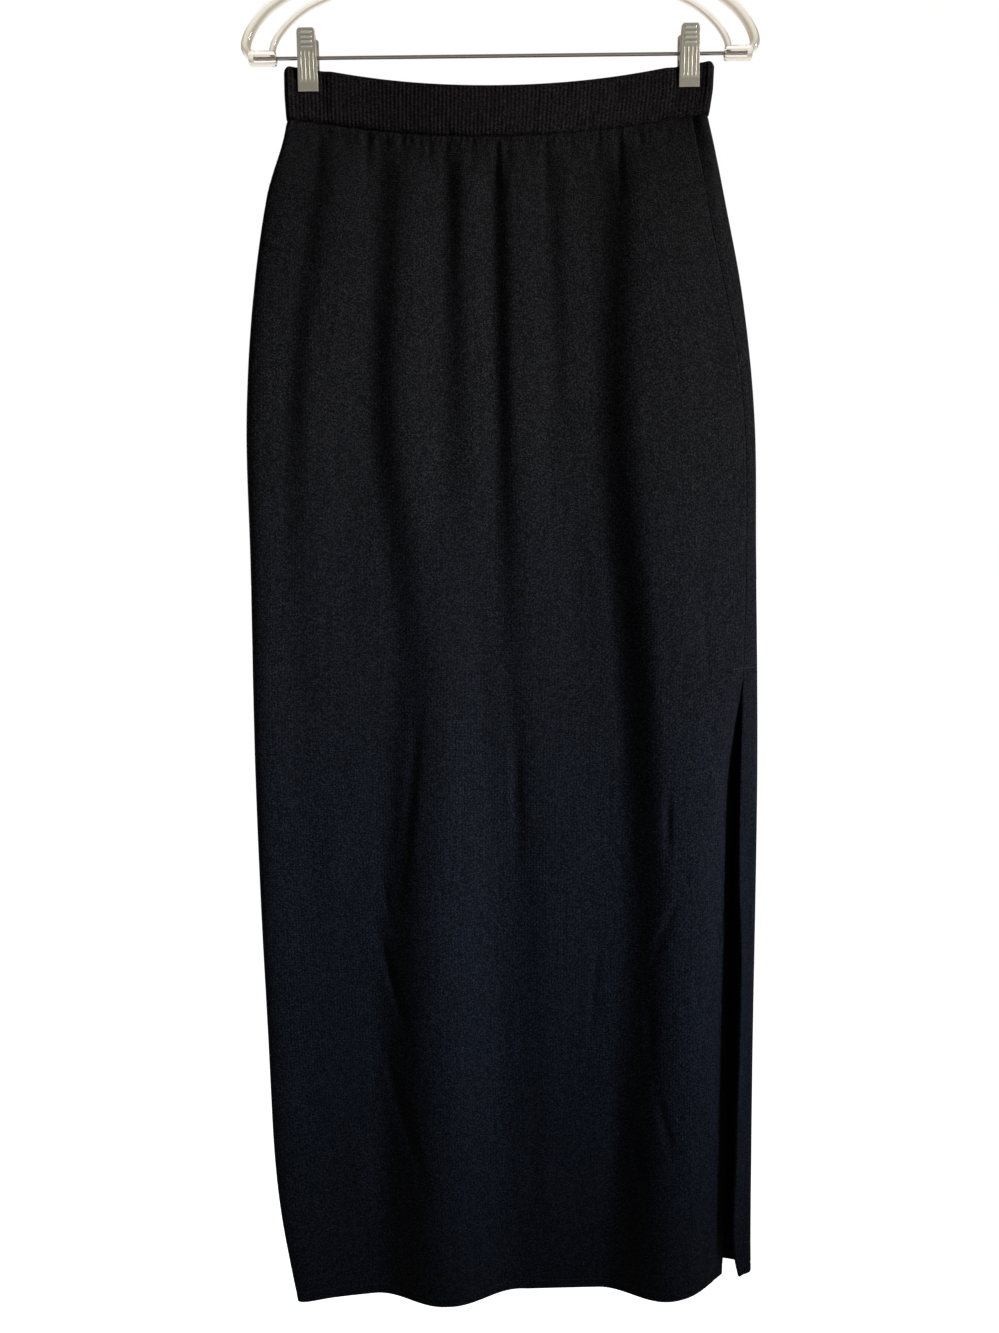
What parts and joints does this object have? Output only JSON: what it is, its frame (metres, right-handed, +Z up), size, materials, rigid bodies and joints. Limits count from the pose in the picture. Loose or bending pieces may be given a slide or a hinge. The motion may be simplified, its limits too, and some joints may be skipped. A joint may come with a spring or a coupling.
{
  "type": "maxi skirt on a clip hanger",
  "caption": "Long straight black knit skirt with a ribbed waistband, gathered waist seam and a side slit, hung by spring clips from a clear skirt hanger.",
  "frame": {"origin": "inside top of the hanger's hook, where it hangs on a rail", "axes": "+Z up, +Y from the skirt's front to its back, +X to the right as seen from the front"},
  "size_m": [0.4082, 0.0749, 1.1724],
  "materials": {
    "knit_body": "matt fine-gauge knit with fine upright wales",
    "rib_band": "matt doubled rib knit",
    "clear_plastic": "clear polished moulding",
    "rod_steel": "plain drawn steel rod",
    "hook_steel": "bright plated wire",
    "clip_nickel": "satin nickel plated pressing",
    "spring_steel": "oiled spring wire"
  },
  "bodies": {
    "root": {"front_panel_hip": "knit_body", "front_panel_thigh": "knit_body", "front_panel_hem": "knit_body", "back_panel_hip": "knit_body", "back_panel_thigh": "knit_body", "back_panel_hem": "knit_body", "waistband_front": "rib_band", "waistband_back": "rib_band", "hanger_frame": "clear_plastic", "hanger_rod": "rod_steel", "hanger_hook": "hook_steel", "clip_left_front": "clip_nickel", "clip_left_back": "clip_nickel", "clip_left_spring": "spring_steel", "clip_right_front": "clip_nickel", "clip_right_back": "clip_nickel", "clip_right_spring": "spring_steel"}
  },
  "joints": []
}
